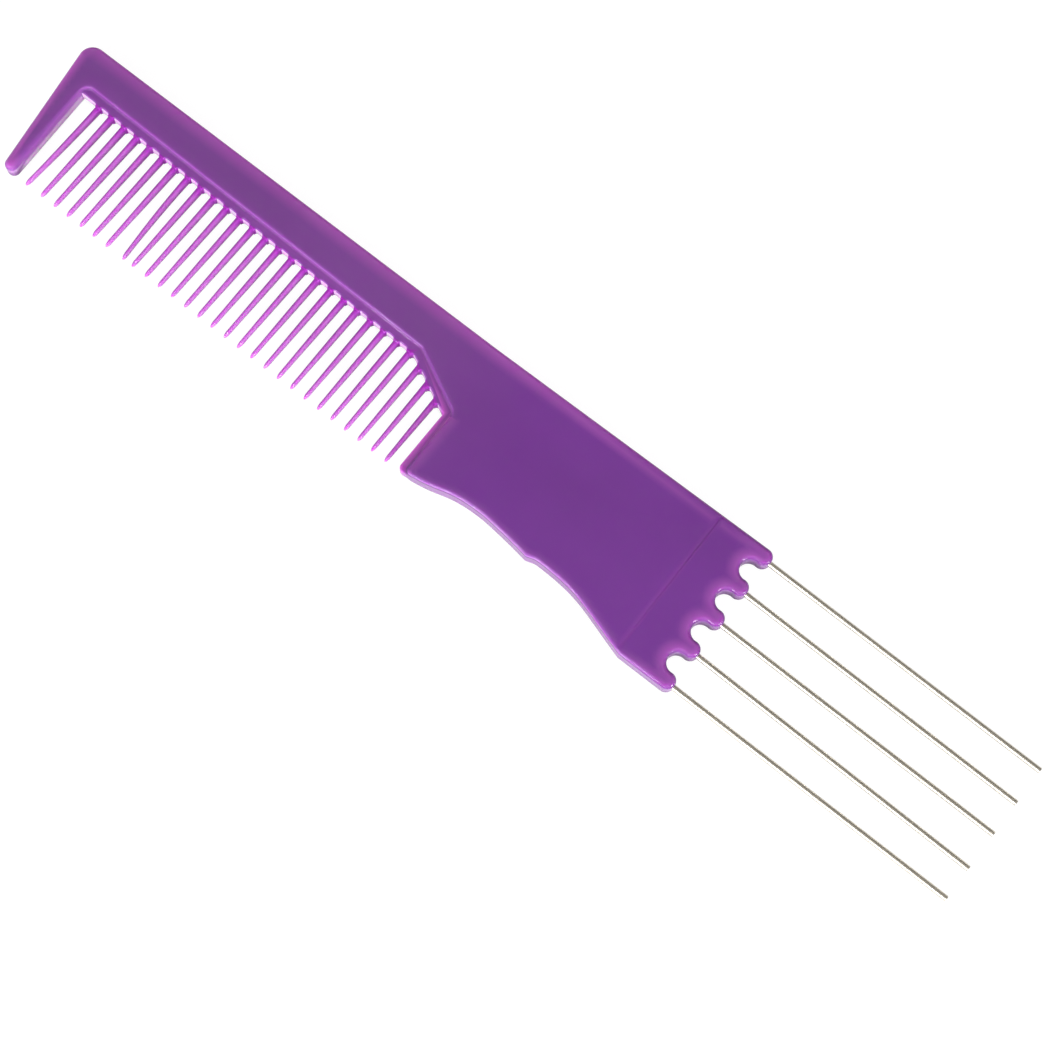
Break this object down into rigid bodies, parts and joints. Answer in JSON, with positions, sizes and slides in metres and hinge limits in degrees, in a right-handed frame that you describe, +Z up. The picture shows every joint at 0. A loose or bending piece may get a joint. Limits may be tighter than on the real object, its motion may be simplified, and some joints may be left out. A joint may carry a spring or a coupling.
{
  "type": "pin tail lift comb",
  "caption": "Flat moulded hair comb with a row of fine teeth, a scalloped handle and straight steel lift pins at the handle's end.",
  "frame": {"origin": "below the middle of the box, on the back face that the comb lies on", "axes": "+X along the comb towards the free ends of the lift pins, +Y towards the spine, +Z up out of the front face"},
  "size_m": [0.1957, 0.0284, 0.004],
  "materials": {
    "comb_plastic": "glossy translucent purple, polished mould surface",
    "pin_steel": "bright drawn wire, cut square at the free end"
  },
  "bodies": {
    "root": {"comb_body": "comb_plastic", "lift_pin_1": "pin_steel", "lift_pin_2": "pin_steel", "lift_pin_3": "pin_steel", "lift_pin_4": "pin_steel", "lift_pin_5": "pin_steel"}
  },
  "joints": []
}
